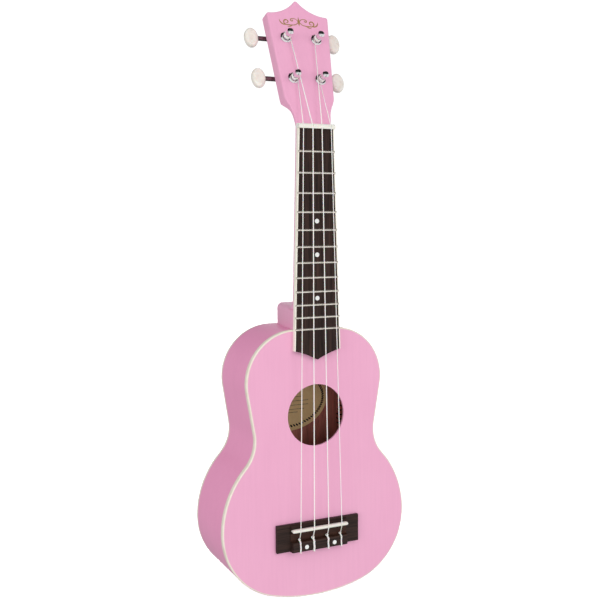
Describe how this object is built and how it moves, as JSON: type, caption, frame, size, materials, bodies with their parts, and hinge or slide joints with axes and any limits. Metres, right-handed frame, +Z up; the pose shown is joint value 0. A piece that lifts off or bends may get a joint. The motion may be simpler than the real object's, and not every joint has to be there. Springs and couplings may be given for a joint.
{
  "type": "soprano ukulele",
  "caption": "Painted soprano ukulele with a bound hollow body, rosewood fingerboard and tie bridge, tilted headstock and open worm-gear tuners.",
  "frame": {"origin": "centre of the neck's flat face at the fingerboard end of the nut", "axes": "+Z up the neck to the headstock, -Y out of the soundboard towards the strings, +X to the right seen from the front"},
  "size_m": [0.179, 0.083, 0.5301],
  "materials": {
    "pink_paint": "satin painted wood",
    "cream_binding": "satin",
    "inner_wood": "raw mahogany",
    "label_paper": "matt paper",
    "rosewood": "oiled rosewood",
    "fret_wire": "polished nickel silver",
    "white_inlay": "gloss",
    "ivory_white": "satin",
    "nylon": "clear nylon",
    "chrome": "polished",
    "brass_gear": "machined",
    "button_cream": "gloss, slightly pearly"
  },
  "bodies": {
    "instrument": {"back_binding": "cream_binding", "back_braces": "inner_wood", "back_linings": "inner_wood", "back_plate": "pink_paint", "bridge": "rosewood", "bridge_dots": "white_inlay", "bridge_plate": "inner_wood", "fingerboard": "rosewood", "fingerboard_bindings": "cream_binding", "frets": "fret_wire", "label": "label_paper", "neck": "pink_paint", "neck_block": "inner_wood", "neck_dowels": "inner_wood", "nut": "ivory_white", "position_dots": "white_inlay", "saddle": "ivory_white", "side_bass": "pink_paint", "side_treble": "pink_paint", "soundboard": "pink_paint", "soundboard_braces": "inner_wood", "string_a": "nylon", "string_c": "nylon", "string_e": "nylon", "string_g": "nylon", "tail_block": "inner_wood", "top_binding": "cream_binding", "top_linings": "inner_wood", "tuner_bushings": "chrome", "tuner_plate_a": "chrome", "tuner_plate_c": "chrome", "tuner_plate_e": "chrome", "tuner_plate_g": "chrome", "tuner_screws": "chrome"},
    "button_g": {"worm_shaft_g": "chrome", "button_g": "button_cream"},
    "post_g": {"post_g": "chrome", "gear_g": "brass_gear", "gear_screw_g": "chrome", "winding_g": "nylon"},
    "button_c": {"worm_shaft_c": "chrome", "button_c": "button_cream"},
    "post_c": {"post_c": "chrome", "gear_c": "brass_gear", "gear_screw_c": "chrome", "winding_c": "nylon"},
    "button_e": {"worm_shaft_e": "chrome", "button_e": "button_cream"},
    "post_e": {"post_e": "chrome", "gear_e": "brass_gear", "gear_screw_e": "chrome", "winding_e": "nylon"},
    "button_a": {"worm_shaft_a": "chrome", "button_a": "button_cream"},
    "post_a": {"post_a": "chrome", "gear_a": "brass_gear", "gear_screw_a": "chrome", "winding_a": "nylon"}
  },
  "joints": [
    {"name": "button_g_turn", "type": "hinge", "parent": "instrument", "child": "button_g", "pos_m": [-0.0131, 0.03149, 0.04572], "axis": [1, 0, 0], "continuous": true},
    {"name": "post_g_turn", "type": "hinge", "parent": "instrument", "child": "post_g", "pos_m": [-0.0131, 0.01358, 0.0448], "axis": [0, -0.9532, 0.3024], "continuous": true},
    {"name": "button_c_turn", "type": "hinge", "parent": "instrument", "child": "button_c", "pos_m": [-0.0148, 0.04311, 0.08233], "axis": [1, 0, 0], "continuous": true},
    {"name": "post_c_turn", "type": "hinge", "parent": "instrument", "child": "post_c", "pos_m": [-0.0148, 0.02519, 0.0814], "axis": [0, -0.9532, 0.3024], "continuous": true},
    {"name": "button_e_turn", "type": "hinge", "parent": "instrument", "child": "button_e", "pos_m": [0.0148, 0.04311, 0.08233], "axis": [1, 0, 0], "continuous": true},
    {"name": "post_e_turn", "type": "hinge", "parent": "instrument", "child": "post_e", "pos_m": [0.0148, 0.02519, 0.0814], "axis": [0, -0.9532, 0.3024], "continuous": true},
    {"name": "button_a_turn", "type": "hinge", "parent": "instrument", "child": "button_a", "pos_m": [0.0131, 0.03149, 0.04572], "axis": [1, 0, 0], "continuous": true},
    {"name": "post_a_turn", "type": "hinge", "parent": "instrument", "child": "post_a", "pos_m": [0.0131, 0.01358, 0.0448], "axis": [0, -0.9532, 0.3024], "continuous": true}
  ],
  "couplings": [
    {"joint": "post_g_turn", "follows": "button_g_turn", "ratio": 0.071429},
    {"joint": "post_c_turn", "follows": "button_c_turn", "ratio": 0.071429},
    {"joint": "post_e_turn", "follows": "button_e_turn", "ratio": 0.071429},
    {"joint": "post_a_turn", "follows": "button_a_turn", "ratio": 0.071429}
  ]
}
